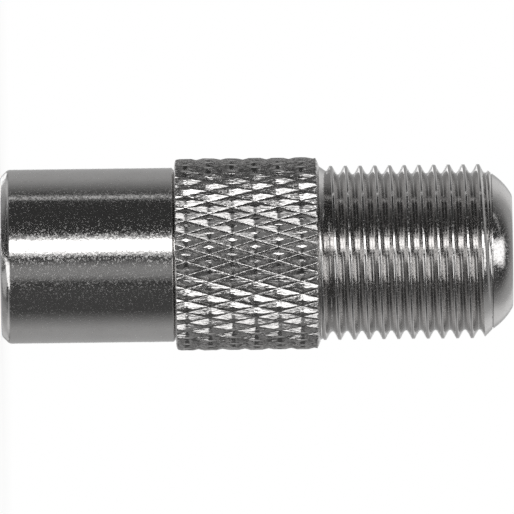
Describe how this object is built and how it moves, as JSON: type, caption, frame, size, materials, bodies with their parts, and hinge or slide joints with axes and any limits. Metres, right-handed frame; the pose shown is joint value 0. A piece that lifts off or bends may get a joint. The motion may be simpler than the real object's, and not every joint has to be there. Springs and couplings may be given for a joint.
{
  "type": "coaxial jack to plug adapter",
  "caption": "Straight coaxial adapter: a threaded F jack on one side of a knurled collar, a push-on aerial plug on the other.",
  "frame": {"origin": "centre of the rim of the plug's sleeve, on which the adapter stands", "axes": "+Z along the adapter's axis from the plug to the jack; X and Y are across it"},
  "size_m": [0.0104, 0.0104, 0.0276],
  "materials": {
    "nickel_plate": "bright nickel plate on turned brass",
    "pin_metal": "nickel plate on turned brass",
    "spring_bronze": "bare phosphor bronze",
    "insulator_plastic": "moulded white acetal"
  },
  "bodies": {
    "root": {"plug_sleeve": "nickel_plate", "jack_body": "nickel_plate", "contact_pin": "pin_metal", "spring_clip": "spring_bronze", "pin_insulator": "insulator_plastic", "front_insulator": "insulator_plastic"}
  },
  "joints": []
}
